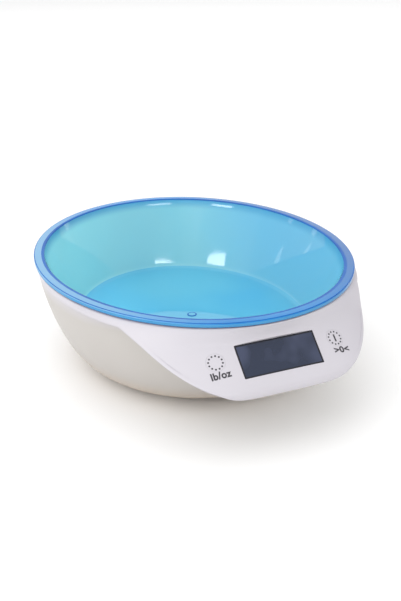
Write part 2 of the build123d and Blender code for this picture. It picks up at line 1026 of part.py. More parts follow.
def rise_to_board(x):
    points = []
    for spread, depth in lead_rise:
        half_width, half_length, middle_y, z = hull_ring(spread, depth)
        points.append((x, middle_y - half_length * sqrt(1 - (x / half_width) ** 2), z))
    points.append(tuple(panel_place(x, lead_board_y, board_back + lead_board_drop).position))
    points.append(tuple(panel_place(x, lead_board_y, board_back).position))
    return points


def load_cell_leads():
    floor_z = base_floor_z + lead_radius + lead_floor_gap
    start_y = -cell_width / 2 + 1
    start_z = cell_under_z - gauge_coat / 2
    leads = []
    for number in range(cell_lead_count):
        x = (number - (cell_lead_count - 1) / 2) * cell_lead_spacing
        start = [(x, start_y, start_z), (x, start_y - 4, start_z), (x, start_y - 8, floor_z)]
        leads.append(lead(start + rise_to_board(x)))
    return Compound(leads)


def battery_lead(number, y):
    floor_z = base_floor_z + lead_radius + lead_floor_gap
    start_x = -bay_half_length - bay_wall - contact_tab_reach
    start_z = battery_z - contact_width / 4
    x = battery_lead_x[number]
    points = [
        (start_x, y, start_z),
        (x, y, start_z),
        (x, y - 5, floor_z),
        (x, front_foot_y - 4 * number, floor_z),
    ]
    return lead(points + rise_to_board(battery_lead_rise_x[number]))


def main():
    os.makedirs("parts", exist_ok=True)
    nodes = {}
    nodes["bowl"] = bowl()
    nodes["upper_housing"] = upper_housing()
    nodes["lower_housing"] = lower_housing()
    nodes["weighing_platform"] = weighing_platform()
    nodes["load_carrier"] = load_carrier()
    nodes["load_cell"] = load_cell()
    nodes["gauge_coating"] = gauge_coating()
    nodes["carrier_screws"] = screw_set(
        cell_screw_places(cell_free_x), carrier_head_z(), cell_under_z + 0.5
    )
    nodes["load_cell_screws"] = screw_set(
        cell_screw_places(cell_fixed_x), base_z + counterbore_depth, cell_top_z - 0.5
    )
    nodes["housing_screws"] = screw_set(
        screw_places(), base_z + counterbore_depth, base_floor_z + tube_height + 6
    )
    for name, (x, y) in foot_places().items():
        nodes[name] = foot(x, y)
    nodes["display_window"] = display_window()
    nodes["window_tape"] = window_tape()
    nodes["display_glass"] = display_glass()
    nodes["display_frame"] = display_frame()
    nodes["contact_strips"] = contact_strips()
    nodes["circuit_board"] = circuit_board()
    nodes["board_screws"] = board_screws()
    nodes["controller_chip"] = controller_chip()
    nodes["crystal_can"] = crystal_can()
    nodes["storage_capacitor"] = storage_capacitor()
    nodes["board_components"] = board_components()
    for name, x in key_places().items():
        nodes[f"{name}_key"] = key(x)
        nodes[f"{name}_switch"] = key_switch(x)
        nodes[f"{name}_switch_plunger"] = switch_plunger(x)
    nodes["front_battery"] = battery(front_battery_y, -1)
    nodes["rear_battery"] = battery(rear_battery_y, 1)
    nodes["positive_contact"] = contact_button(-1, front_battery_y) + contact_tab(front_battery_y)
    nodes["negative_contact"] = contact_leaf(-1, rear_battery_y) + contact_tab(rear_battery_y)
    nodes["link_contact"] = link_contact()
    nodes["battery_door"] = battery_door()
    nodes["load_cell_leads"] = load_cell_leads()
    nodes["positive_battery_lead"] = battery_lead(0, front_battery_y)
    nodes["negative_battery_lead"] = battery_lead(1, rear_battery_y)

    frame_shift = (chin_reach - bowl_half_length) / 2
    for name, part in nodes.items():
        export_step(Pos(0, frame_shift, 0) * part, f"parts/{name}.step")


if __name__ == "__main__":
    main()
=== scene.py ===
import bpy
from math import atan2, cos, exp, hypot, pi, radians, sin, sqrt, tan
from mathutils import Matrix, Quaternion, Vector


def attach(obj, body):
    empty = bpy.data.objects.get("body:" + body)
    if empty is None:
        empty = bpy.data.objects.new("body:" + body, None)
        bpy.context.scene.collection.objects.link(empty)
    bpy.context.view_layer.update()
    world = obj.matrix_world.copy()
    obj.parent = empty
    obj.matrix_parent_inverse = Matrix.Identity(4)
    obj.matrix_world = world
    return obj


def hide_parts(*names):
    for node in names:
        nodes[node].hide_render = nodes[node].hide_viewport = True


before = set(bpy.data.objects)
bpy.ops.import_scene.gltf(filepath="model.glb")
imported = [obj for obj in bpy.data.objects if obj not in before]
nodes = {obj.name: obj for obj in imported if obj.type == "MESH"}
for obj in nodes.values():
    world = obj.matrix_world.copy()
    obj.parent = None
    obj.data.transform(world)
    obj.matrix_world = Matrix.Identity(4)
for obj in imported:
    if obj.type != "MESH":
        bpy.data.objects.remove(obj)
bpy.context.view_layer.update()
mm = 0.001
shift = 9.2  # the bowl's axis stands this far behind the origin, in millimetres
print("frame loaded")


# ---- small helpers


def deselectAll():
    if bpy.context.object and bpy.context.object.mode != "OBJECT":
        bpy.ops.object.mode_set(mode="OBJECT")
    bpy.ops.object.select_all(action="DESELECT")


def activate(piece):
    deselectAll()
    piece.select_set(True)
    bpy.context.view_layer.objects.active = piece


def meshPiece(name, points, faces):
    mesh = bpy.data.meshes.new(name)
    mesh.from_pydata([(x * mm, (y + shift) * mm, z * mm) for x, y, z in points], [], faces)
    mesh.update()
    piece = bpy.data.objects.new(name, mesh)
    bpy.context.collection.objects.link(piece)
    return piece


def settle(piece):
    # puts the place, turn and size of a piece into its mesh
    activate(piece)
    bpy.ops.object.transform_apply(location=True, rotation=True, scale=True)


def addModifier(piece, kind, **values):
    activate(piece)
    modifier = piece.modifiers.new(kind.lower(), kind)
    for key, value in values.items():
        setattr(modifier, key, value)
    bpy.ops.object.modifier_apply(modifier=modifier.name)


def cut(piece, cutter, operation):
    addModifier(piece, "BOOLEAN", operation=operation, solver="EXACT", object=cutter)
    bpy.data.objects.remove(cutter)


def smooth(piece, angle):
    activate(piece)
    bpy.ops.object.shade_smooth_by_angle(angle=radians(angle))


def paint(piece, finish):
    piece.data.materials.clear()
    piece.data.materials.append(finish)


def hold(piece, body, replaced=()):
    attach(piece, body)
    if replaced:
        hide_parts(*replaced)


def halve(low, high, steps, under):
    # closes in on the place between low and high where under stops being true
    for _ in range(steps):
        middle = (low + high) / 2
        if under(middle):
            low = middle
        else:
            high = middle
    return low, high


# ---- the sloping panel's own plane

panelPlane = {"y": -114.4, "z": 51.9, "tilt": 48.4}


def panelMatrix(x, y, depth):
    # local X to the right, Y up the slope, Z out of the panel
    tilt = radians(panelPlane["tilt"])
    right = Vector((1, 0, 0))
    out = Vector((0, -cos(tilt), sin(tilt)))
    up = out.cross(right)
    origin = Vector((0, panelPlane["y"] + shift, panelPlane["z"]))
    place = (origin + right * x + up * y - out * depth) * mm
    turn = Matrix((right, up, out)).transposed().to_4x4()
    return Matrix.Translation(place) @ turn


# ---- materials


def material(name, color, roughness, **sockets):
    made = bpy.data.materials.new(name)
    made.use_nodes = True
    shader = made.node_tree.nodes["Principled BSDF"]
    shader.inputs["Base Color"].default_value = (*color, 1)
    shader.inputs["Roughness"].default_value = roughness
    for key, value in sockets.items():
        shader.inputs[key.replace("_", " ")].default_value = value
    return made


def addNode(made, kind, **inputs):
    node = made.node_tree.nodes.new("ShaderNode" + kind)
    for key, value in inputs.items():
        node.inputs[key.replace("_", " ")].default_value = value
    return node


def wire(made, start, end):
    made.node_tree.links.new(start, end)


def principled(made, socket):
    return made.node_tree.nodes["Principled BSDF"].inputs[socket]


def objectPlace(made):
    # where a point lies on the object, in metres
    return addNode(made, "TexCoord").outputs["Object"]


def placeParts(made):
    parts = addNode(made, "SeparateXYZ")
    wire(made, objectPlace(made), parts.inputs["Vector"])
    return parts.outputs


def noiseField(made, stretch, **inputs):
    turn = addNode(made, "Mapping", Scale=stretch)
    noise = addNode(made, "TexNoise", **inputs)
    wire(made, objectPlace(made), turn.inputs["Vector"])
    wire(made, turn.outputs["Vector"], noise.inputs["Vector"])
    return noise.outputs["Fac"]


def colorRamp(made, source, stops):
    # two stops, each a position and a colour
    ramp = addNode(made, "ValToRGB")
    for element, (position, color) in zip(ramp.color_ramp.elements, stops):
        element.position = position
        element.color = (*color, 1)
    wire(made, source, ramp.inputs["Fac"])
    wire(made, ramp.outputs["Color"], principled(made, "Base Color"))
    return ramp


def layColor(made, amount, color, side="B"):
    # mixes a colour with the one that the material has, on the mix node's side A or B
    base = principled(made, "Base Color")
    before = base.links[0].from_socket
    mixed = addNode(made, "Mix")
    mixed.data_type = "RGBA"
    mixed.inputs[side].default_value = (*color, 1)
    wire(made, amount, mixed.inputs["Factor"])
    wire(made, before, mixed.inputs["A" if side == "B" else "B"])
    wire(made, mixed.outputs["Result"], base)


def grain(made, scale, strength, distance=0.0002, stretch=(1, 1, 1)):
    # fine surface relief from a noise
    bump = addNode(made, "Bump", Strength=strength, Distance=distance)
    wire(made, noiseField(made, stretch, Scale=scale, Detail=3.0), bump.inputs["Height"])
    wire(made, bump.outputs["Normal"], principled(made, "Normal"))


def mottle(made, first, second, scale, low=0.35, high=0.65, stretch=(1, 1, 1)):
    # two close colours, mixed by a soft noise
    colorRamp(made, noiseField(made, stretch, Scale=scale), ((low, first), (high, second)))


def fade(made, axis, start, end, color):
    # turns the colour into another one along an axis of the object, from start to end
    span = addNode(made, "MapRange", From_Min=start, From_Max=end)
    span.interpolation_type = "SMOOTHSTEP"
    wire(made, placeParts(made)[axis], span.inputs["Value"])
    layColor(made, span.outputs["Result"], color)


clearBlue = material("clearBlue", (0.28, 0.79, 0.95), 0.04, Transmission_Weight=0.3, IOR=1.47,
                     Specular_IOR_Level=0.3)
grain(clearBlue, 60, 0.03, 0.0003)
mottle(clearBlue, (0.23, 0.69, 0.86), (0.29, 0.72, 0.83), 14)
# painted light and shade: the wall lighter on the left, where light comes through it from behind,
# and deeper on the right
fade(clearBlue, "X", 0.01, -0.06, (0.37, 0.92, 1.0))
fade(clearBlue, "X", 0.03, 0.085, (0.20, 0.61, 0.86))
fade(clearBlue, "Z", 0.0635, 0.0700, (0.09, 0.44, 0.72))
floorBlue = material("floorBlue", (0.15, 0.64, 0.90), 0.04, Transmission_Weight=0.3, IOR=1.47,
                     Specular_IOR_Level=0.2)
grain(floorBlue, 60, 0.03, 0.0003)
mottle(floorBlue, (0.115, 0.54, 0.83), (0.15, 0.59, 0.82), 14)
# painted light: the floor lighter towards the left, where the light falls through
fade(floorBlue, "X", 0.0, -0.05, (0.16, 0.67, 0.98))
rimBlue = material("rimBlue", (0.01, 0.28, 0.72), 0.05, Transmission_Weight=0.3, IOR=1.47)
mottle(rimBlue, (0.01, 0.26, 0.70), (0.02, 0.30, 0.73), 20)
# painted light and shade: the flange lighter to the left and darker to the right
fade(rimBlue, "X", -0.02, -0.09, (0.20, 0.50, 0.80))
fade(rimBlue, "X", 0.02, 0.09, (0.01, 0.17, 0.52))
skirtBlue = material("skirtBlue", (0.06, 0.36, 0.70), 0.06, Transmission_Weight=0.3, IOR=1.47)
mottle(skirtBlue, (0.05, 0.34, 0.68), (0.07, 0.38, 0.71), 30)
# painted shade: the skirt darker towards the right
fade(skirtBlue, "X", 0.02, 0.09, (0.02, 0.22, 0.58))
edgeBlue = material("edgeBlue", (0.005, 0.10, 0.40), 0.12, Specular_IOR_Level=0.1)
mottle(edgeBlue, (0.004, 0.09, 0.37), (0.008, 0.12, 0.43), 40)
whiteShell = material("whiteShell", (0.535, 0.515, 0.555), 0.38, Coat_Weight=0.1,
                      Coat_Roughness=0.25)
mottle(whiteShell, (0.53, 0.51, 0.55), (0.54, 0.52, 0.56), 25)
# painted shade: the shell turns darker towards its right side, as the light falls from the left
fade(whiteShell, "X", 0.030, 0.095, (0.43, 0.405, 0.45))
grain(whiteShell, 900, 0.06, 0.0001)
# the white plastic of the shell, painted darker as shade, on the lower hull and the battery door
shadedWhiteShell = material("shadedWhiteShell", (0.475, 0.45, 0.425), 0.42)
mottle(shadedWhiteShell, (0.465, 0.44, 0.415), (0.485, 0.46, 0.435), 22)
grain(shadedWhiteShell, 900, 0.08, 0.0001)
# painted warm reflection from below: a tan tint towards the bottom of the hull
fade(shadedWhiteShell, "Z", 0.024, 0.004, (0.53, 0.45, 0.37))
platformGrey = material("platformGrey", (0.74, 0.75, 0.77), 0.5)
mottle(platformGrey, (0.73, 0.74, 0.76), (0.76, 0.77, 0.79), 30)
grain(platformGrey, 700, 0.15, 0.0001)
blackPlastic = material("blackPlastic", (0.018, 0.018, 0.02), 0.5)
mottle(blackPlastic, (0.015, 0.015, 0.017), (0.024, 0.024, 0.027), 90)
grain(blackPlastic, 1200, 0.2, 0.0001)
cellAlloy = material("cellAlloy", (0.66, 0.67, 0.69), 0.32, Metallic=1.0)
mottle(cellAlloy, (0.62, 0.63, 0.65), (0.70, 0.71, 0.73), 120, stretch=(0.1, 1, 1))
grain(cellAlloy, 900, 0.2, 0.0001, stretch=(0.05, 1, 1))
coatingWhite = material("coatingWhite", (0.80, 0.79, 0.74), 0.55)
mottle(coatingWhite, (0.76, 0.75, 0.70), (0.84, 0.83, 0.78), 260)
grain(coatingWhite, 300, 0.5, 0.0003)
steel = material("steel", (0.60, 0.60, 0.62), 0.28, Metallic=1.0)
mottle(steel, (0.56, 0.56, 0.58), (0.64, 0.64, 0.66), 300)
grain(steel, 1500, 0.15, 0.00005)
footRubber = material("footRubber", (0.52, 0.52, 0.53), 0.75)
mottle(footRubber, (0.50, 0.50, 0.51), (0.56, 0.56, 0.57), 150)
grain(footRubber, 1600, 0.35, 0.0001)
windowClear = material("windowClear", (0.03, 0.042, 0.085), 0.07, Transmission_Weight=0.3, IOR=1.46)
mottle(windowClear, (0.024, 0.036, 0.075), (0.062, 0.078, 0.145), 48, 0.42, 0.60)
blackFilm = material("blackFilm", (0.012, 0.012, 0.016), 0.35)
mottle(blackFilm, (0.010, 0.010, 0.014), (0.016, 0.016, 0.020), 200)
lcdGlass = material("lcdGlass", (0.075, 0.085, 0.135), 0.2)
mottle(lcdGlass, (0.055, 0.065, 0.110), (0.115, 0.125, 0.190), 55, 0.4, 0.62)
whiteFrame = material("whiteFrame", (0.78, 0.78, 0.78), 0.45)
mottle(whiteFrame, (0.76, 0.76, 0.76), (0.80, 0.80, 0.80), 80)
grain(whiteFrame, 900, 0.1, 0.0001)
boardGreen = material("boardGreen", (0.012, 0.10, 0.035), 0.3, Coat_Weight=0.4)
contactSteel = material("contactSteel", (0.72, 0.72, 0.73), 0.22, Metallic=1.0)
mottle(contactSteel, (0.68, 0.68, 0.69), (0.75, 0.75, 0.76), 250)
batteryWrap = material("batteryWrap", (0.06, 0.09, 0.13), 0.25, Coat_Weight=0.5)
leadGrey = material("leadGrey", (0.42, 0.42, 0.43), 0.5)
mottle(leadGrey, (0.40, 0.40, 0.41), (0.45, 0.45, 0.46), 300)
leadRed = material("leadRed", (0.45, 0.015, 0.012), 0.5)
mottle(leadRed, (0.42, 0.013, 0.010), (0.48, 0.018, 0.015), 300)
leadBlack = material("leadBlack", (0.013, 0.013, 0.013), 0.5)
mottle(leadBlack, (0.011, 0.011, 0.011), (0.018, 0.018, 0.018), 300)
plungerGrey = material("plungerGrey", (0.2, 0.2, 0.21), 0.45)
mottle(plungerGrey, (0.18, 0.18, 0.19), (0.23, 0.23, 0.24), 300)
printInk = material("printInk", (0.035, 0.032, 0.040), 0.45)
mottle(printInk, (0.030, 0.027, 0.035), (0.045, 0.042, 0.050), 700)


# where the hull's painted shade fades in under the white band, and over what height
hullShadeFade = {
    "color": (0.53, 0.51, 0.54), "topZ": 0.0625, "backY": -0.035, "frontY": -0.085,
    "backWidth": 0.008, "frontWidth": 0.0005,
}


def shadeUnderWhiteBand(made):
    # painted shade on the hull: the white of the band above fades into the darker colour down the
    # hull, crisp in front of the crease's bend
    parts = placeParts(made)
    width = addNode(made, "MapRange", From_Min=hullShadeFade["frontY"], From_Max=hullShadeFade["backY"],
                    To_Min=hullShadeFade["frontWidth"], To_Max=hullShadeFade["backWidth"])
    depth = addNode(made, "Math")
    depth.operation = "SUBTRACT"
    depth.inputs[0].default_value = hullShadeFade["topZ"]
    share = addNode(made, "Math")
    share.operation = "DIVIDE"
    share.use_clamp = True
    wire(made, parts["Y"], width.inputs["Value"])
    wire(made, parts["Z"], depth.inputs[1])
    wire(made, depth.outputs["Value"], share.inputs[0])
    wire(made, width.outputs["Result"], share.inputs[1])
    layColor(made, share.outputs["Value"], hullShadeFade["color"], side="A")


def rubberStripes(made):
    # close dark layers across pink rubber
    wave = addNode(made, "TexWave", Scale=1600)
    wave.bands_direction = "X"
    wire(made, objectPlace(made), wave.inputs["Vector"])
    colorRamp(made, wave.outputs["Fac"], ((0.0, (0.66, 0.43, 0.47)), (0.9, (0.05, 0.045, 0.05))))


windowPrint = {
    "size": (46.3, 18.8), "border": 0.9, "outside": 0.25, "inside": 0.05,
    "color": (0.008, 0.009, 0.020),
}


def windowMask(made):
    # a dark print around the edge of the display window, in the panel's own plane
    tilt = radians(panelPlane["tilt"])
    up = Vector((0, sin(tilt), cos(tilt)))
    middle = Vector((0, panelPlane["y"] + shift, panelPlane["z"])) * mm
    either = addNode(made, "Math")
    either.operation = "MAXIMUM"
    for number, direction in enumerate((Vector((1, 0, 0)), up)):
        border = windowPrint["size"][number] / 2 - windowPrint["border"]
        along = addNode(made, "VectorMath")
        along.operation = "DOT_PRODUCT"
        along.inputs[1].default_value = direction
        away = addNode(made, "Math")
        away.operation = "SUBTRACT"
        away.inputs[1].default_value = middle.dot(direction)
        far = addNode(made, "Math")
        far.operation = "ABSOLUTE"
        edge = addNode(made, "MapRange", From_Min=(border - windowPrint["outside"]) * mm,
                       From_Max=(border + windowPrint["inside"]) * mm)
        wire(made, objectPlace(made), along.inputs[0])
        wire(made, along.outputs["Value"], away.inputs[0])
        wire(made, away.outputs["Value"], far.inputs[0])
        wire(made, far.outputs["Value"], edge.inputs["Value"])
        wire(made, edge.outputs["Result"], either.inputs[number])
    layColor(made, either.outputs["Value"], windowPrint["color"])


def boardTraces(made):
    # copper tracks under the green lacquer
    brick = addNode(made, "TexBrick", Scale=180, Mortar_Size=0.04, Color1=(0.012, 0.10, 0.035, 1),
                    Color2=(0.014, 0.12, 0.045, 1), Mortar=(0.03, 0.20, 0.08, 1))
    wire(made, objectPlace(made), brick.inputs["Vector"])
    wire(made, brick.outputs["Color"], principled(made, "Base Color"))


def wrapBands(made, start, end):
    # a copper coloured top end and a dark wrap, split across the cell's length
    span = addNode(made, "MapRange", From_Min=start, From_Max=end)
    wire(made, placeParts(made)["X"], span.inputs["Value"])
    ramp = colorRamp(made, span.outputs["Result"],
                     ((0.0, (0.030, 0.045, 0.07)), (0.76, (0.55, 0.30, 0.14))))
    ramp.color_ramp.interpolation = "CONSTANT"


# painted shade on the hull, fading in under the white band
shadeUnderWhiteBand(shadedWhiteShell)
windowMask(windowClear)
boardTraces(boardGreen)
stripRubber = material("stripRubber", (0.62, 0.40, 0.44), 0.6)
rubberStripes(stripRubber)
cellEnd = 0.02225
batteryWrapBack = batteryWrap.copy()
wrapBands(batteryWrap, cellEnd, -cellEnd)
wrapBands(batteryWrapBack, -cellEnd, cellEnd)
print("materials made")


# ---- body outline: the curves of the CAD solids, with the rim a little higher

shape = {
    "skirtZ": 67.0, "rimZ": 66.9, "baseZ": 2.5, "levelZ": 62.5,
    "rimHalf": (93.1, 108.0), "baseHalf": (54.5, 58.3), "baseOffset": 4.5,
    "lowPower": 2.34, "highPower": 1.23,
    "tilt": panelPlane["tilt"], "topZ": 58.3, "topReach": 106.8, "bend": 2.8, "rimBlend": 2.8,
    "chinZ": 37.4, "chinHalf": 82.2, "chinSquare": 3.23, "chinCentre": -30.1,
    "widthPower": 1.19, "squarePower": 0.8, "backDepth": 60.0, "visorBlend": 1.6,
    "creaseStart": -60.6, "creaseArch": 0.16, "creaseLowest": 33.0,
    "bellyDepth": 17.5, "bellyRise": 0.7, "bellyFall": 4, "bellyFlatness": 4, "bellyNarrowest": 16,
    "noseRadius": 4.0, "noseY": -123.0, "noseZ": 38.6, "noseTip": 0.02, "frontY": -124.0,
    "middleY": -12.0, "farthest": 180.0, "visorSteps": 34, "creaseSteps": 30,
    "columns": 256, "rows": 44, "rowPower": 1.25, "wall": 2.0,
    "rimEdge": 0.6, "rimBevel": 0.2, "recessBevel": 0.5, "smooth": 32,
}
# the rounding of the crease, wide where it fades out and crisp towards the chin
creaseEdge = {
    "fadeStart": -108, "fadeLength": 36, "crisp": 0.55, "extra": 2.35, "power": 1.5,
    "ledgeShare": 0.85, "least": 0.3, "upShare": 0.85, "inMost": 0.96, "steps": 6,
    "lipBeyond": 0.5, "lipRise": 0.2,
}


def panelReach(z):
    run = (shape["topZ"] - z) * tan(radians(shape["tilt"]))
    lean = shape["topReach"] + (run + hypot(run, shape["bend"])) / 2
    blend = exp(-(shape["skirtZ"] - z) / shape["rimBlend"])
    return lean * (1 - blend) + shape["rimHalf"][1] * blend


def noseReach(z):
    # the panel down to where the chin's round begins, then the round itself
    radius, middleZ = shape["noseRadius"], shape["noseZ"]
    if z >= middleZ + radius * sin(radians(shape["tilt"])):
        return panelReach(z)
    drop = min(middleZ - z, radius - shape["noseTip"]) if z < middleZ else z - middleZ
    return -shape["noseY"] + sqrt(radius**2 - drop**2)


def visorShape(z):
    drop = (shape["skirtZ"] - z) / (shape["skirtZ"] - shape["chinZ"])
    centreY = shape["chinCentre"] * drop
    widening = shape["chinHalf"] - shape["rimHalf"][0]
    half = shape["rimHalf"][0] + widening * drop ** shape["widthPower"]
    square = 2 + (shape["chinSquare"] - 2) * drop ** shape["squarePower"]
    return half, centreY, square


def visorRadius(angle, z):
    half, centreY, square = visorShape(min(z, shape["skirtZ"] - 0.001))
    front = noseReach(z) + centreY

    def inside(r):
        x = r * sin(angle)
        y = shape["middleY"] - r * cos(angle)
        if y < centreY:
            return (abs(x) / half) ** square + ((centreY - y) / front) ** square < 1
        return (abs(x) / half) ** 2 + ((y - centreY) / shape["backDepth"]) ** 2 < 1

    return halve(0.0, shape["farthest"], shape["visorSteps"], inside)[0]


def ovalRadius(angle, halfWidth, halfLength, centreY):
    # distance from the middle of the columns to an oval, along one direction
    dx, dy = sin(angle), -cos(angle)
    oy = shape["middleY"] - centreY
    a = (dx / halfWidth) ** 2 + (dy / halfLength) ** 2
    b = 2 * oy * dy / halfLength**2
    c = (oy / halfLength) ** 2 - 1
    return (-b + sqrt(b * b - 4 * a * c)) / (2 * a)


def hullRadius(angle, z):
    climb = (z - shape["baseZ"]) / (shape["skirtZ"] - shape["baseZ"])
    spread = (1 - (1 - climb) ** shape["highPower"]) ** (1 / shape["lowPower"])
    halfWidth, halfLength = (low + (high - low) * spread
                             for low, high in zip(shape["baseHalf"], shape["rimHalf"]))
    return ovalRadius(angle, halfWidth, halfLength, shape["baseOffset"] * (1 - spread))


def skinRadius(angle, z):
    hull, visor = hullRadius(angle, z), visorRadius(angle, z)
    width = shape["visorBlend"]
    mixed = max(width - abs(hull - visor), 0) / width
    return max(hull, visor) + mixed**2 * width / 4


def creaseShare(y):
    return (shape["creaseStart"] - y) / (panelReach(shape["chinZ"]) + shape["creaseStart"])


def creaseZ(y):
    share = creaseShare(y)
    fall = (shape["skirtZ"] - shape["chinZ"]) * share
    return shape["skirtZ"] - fall * (1 - shape["creaseArch"] * (1 - share))


# where the crease comes down from the level line
creaseBend = halve(-panelReach(shape["chinZ"]), shape["creaseStart"], shape["creaseSteps"],
                   lambda y: creaseZ(y) <= shape["levelZ"])[1]


def undersideZ(x, y):
    if y > creaseBend:
        return shape["levelZ"]
    y = max(y, shape["frontY"])
    start = creaseShare(creaseBend)
    share = min(max((creaseShare(y) - start) / (1 - start), 0), 1)
    belly = shape["bellyDepth"] * share ** shape["bellyRise"] * (1 - share ** shape["bellyFall"])
    half, centreY, square = visorShape(creaseZ(y))
    part = min(max((centreY - y) / (panelReach(creaseZ(y)) + centreY), 0), 0.999)
    edgeX = max(half * (1 - part**square) ** (1 / square), shape["bellyNarrowest"])
    return creaseZ(y) - belly * (1 - min(abs(x) / edgeX, 1) ** shape["bellyFlatness"])


def columnPoint(angle, r, z):
    return (r * sin(angle), shape["middleY"] - r * cos(angle), z)


def creasePoint(angle):
    def under(z):
        x, y, _ = columnPoint(angle, skinRadius(angle, z), z)
        return z <= undersideZ(x, y)

    return halve(shape["creaseLowest"], shape["rimZ"] - 1, shape["creaseSteps"], under)[1]


def creaseRound(angle, z):
    r = skinRadius(angle, z)
    ledge = r - hullRadius(angle, z)
    y = columnPoint(angle, r, z)[1]
    fading = min(max((y - creaseEdge["fadeStart"]) / creaseEdge["fadeLength"], 0), 1)
    widest = creaseEdge["crisp"] + creaseEdge["extra"] * fading ** creaseEdge["power"]
    return min(max(creaseEdge["ledgeShare"] * ledge, creaseEdge["least"]), widest)


print("outline ready")


# ---- upper shell: panel skin, rim and the recess that the bowl sits in

recess = {
    "floorHalf": (68.5, 81.5), "rimHalf": (87.8, 102.7), "floorZ": 26.5, "topZ": 70.0,
    "outward": 3.0, "bottomZ": 20.3, "round": 6.0, "roundReach": 0.93, "roundSteps": 6,
    "wallShares": (0.08, 0.25, 0.5, 0.75, 0.92), "floorShares": (0.8, 0.5, 0.2),
}


def slantedOval(form, topZ, z, outward):
    # half width and half length of a sloping oval wall at a height
    share = (z - form["floorZ"]) / (topZ - form["floorZ"])
    return [low + (high - low) * share + outward
            for low, high in zip(form["floorHalf"], form["rimHalf"])]


def recessRadius(angle, z, inward=0.0):
    half = slantedOval(recess, recess["topZ"], z, recess["outward"])
    return ovalRadius(angle, half[0] - inward, half[1] - inward, 0)


def skinColumn(angle):
    crease = creasePoint(angle)
    edgeR = skinRadius(angle, crease)
    lipR = edgeR - shape["wall"] - creaseEdge["lipBeyond"]
    x, y, _ = columnPoint(angle, lipR, crease)
    lipZ = min(undersideZ(x, y), crease + creaseEdge["lipRise"])
    rounding = creaseRound(angle, crease)
    share = min(rounding / hypot(edgeR - lipR, lipZ - crease), creaseEdge["inMost"])
    start = (edgeR + (lipR - edgeR) * share, crease + (lipZ - crease) * share)
    endZ = crease + rounding * creaseEdge["upShare"]
    end = (skinRadius(angle, endZ), endZ)
    column = [(lipR, lipZ)]
    for step in range(creaseEdge["steps"]):
        t = step / creaseEdge["steps"]
        column.append(tuple(a * (1 - t) ** 2 + 2 * b * t * (1 - t) + c * t * t
                            for a, b, c in zip(start, (edgeR, crease), end)))
    rim = shape["rimZ"]
    top = rim - shape["rimEdge"]
    for row in range(shape["rows"] + 1):
        share = row / shape["rows"]
        z = endZ + (top - endZ) * (1 - (1 - share) ** shape["rowPower"])
        column.append((skinRadius(angle, z), z))
    outer, inner = skinRadius(angle, rim), recessRadius(angle, rim)
    bevel, inBevel = shape["rimBevel"], shape["recessBevel"]
    column += [(outer - bevel, rim - bevel), (outer - shape["rimEdge"], rim)]
    column += [(inner + inBevel, rim), (inner, rim - inBevel)]
    return column


def recessColumn(angle):
    column = []
    bottom, radius, rim = recess["bottomZ"], recess["round"], shape["rimZ"]
    for share in recess["wallShares"]:
        z = rim + (bottom + radius - rim) * share
        column.append((recessRadius(angle, z), z))
    for step in range(recess["roundSteps"] + 1):
        turn = step / recess["roundSteps"] * pi / 2
        inward = radius * (1 - cos(turn)) * recess["roundReach"]
        r = recessRadius(angle, bottom + radius, inward)
        column.append((r, bottom + radius * (1 - sin(turn))))
    base = column[-1][0]
    column += [(base * share, bottom) for share in recess["floorShares"]]
    return column


def upperShell():
    columns = []
    for number in range(shape["columns"]):
        angle = 2 * pi * number / shape["columns"]
        outline = skinColumn(angle) + recessColumn(angle)
        columns.append([columnPoint(angle, r, z) for r, z in outline])
    rows = len(columns[0])
    points = [point for column in columns for point in column]
    points.append((0, shape["middleY"], recess["bottomZ"]))
    starts = [number * rows for number in range(len(columns))]
    around = list(zip(starts, starts[1:] + starts[:1]))
    faces = [(first + row, second + row, second + row + 1, first + row + 1)
             for first, second in around for row in range(rows - 1)]
    faces += [(first + rows - 1, second + rows - 1, len(points) - 1) for first, second in around]
    piece = meshPiece("upperShell", points, faces)
    addModifier(piece, "SOLIDIFY", thickness=shape["wall"] * mm, offset=-1, use_even_offset=True,
                use_rim=True)
    return piece


shell = upperShell()
print("upper shell skin", len(shell.data.polygons))


# ---- window opening and keys in the panel

panel = {
    "window": windowPrint["size"], "windowCorner": 0.5, "cornerSteps": 5, "keyX": 35.0, "keyY": 3.0,
    "keyRadius": 4.9, "keyGap": 0.07, "keySides": 96, "cutAbove": 3, "cutDepth": 9.0,
}
cutLength = panel["cutAbove"] + panel["cutDepth"]
cutMiddle = (panel["cutDepth"] - panel["cutAbove"]) / 2


def keyCutter(name, side, gap):
    # a round cutter through the panel, at one of the keys
    deselectAll()
    radius = (panel["keyRadius"] + gap) * mm
    bpy.ops.mesh.primitive_cylinder_add(vertices=panel["keySides"], radius=radius,
                                        depth=cutLength * mm)
    piece = bpy.context.object
    piece.name = name
    piece.matrix_world = panelMatrix(side * panel["keyX"], panel["keyY"], cutMiddle)
    settle(piece)
    return piece


def windowCutter():
    deselectAll()
    bpy.ops.mesh.primitive_cube_add(size=1)
    piece = bpy.context.object
    piece.name = "windowHole"
    width, height = panel["window"]
    piece.scale = (width * mm, height * mm, cutLength * mm)
    bpy.ops.object.transform_apply(location=False, rotation=False, scale=True)
    bpy.ops.object.mode_set(mode="EDIT")
    bpy.ops.mesh.select_mode(type="EDGE")
    bpy.ops.mesh.select_all(action="DESELECT")
    bpy.ops.object.mode_set(mode="OBJECT")
    for edge in piece.data.edges:
        a, b = (piece.data.vertices[i].co for i in edge.vertices)
        edge.select = abs(a.z - b.z) > 0.5 * cutLength * mm
    bpy.ops.object.mode_set(mode="EDIT")
    bpy.ops.mesh.bevel(offset=panel["windowCorner"] * mm, segments=panel["cornerSteps"])
    bpy.ops.object.mode_set(mode="OBJECT")
    piece.matrix_world = panelMatrix(0, 0, cutMiddle)
    settle(piece)
    return piece


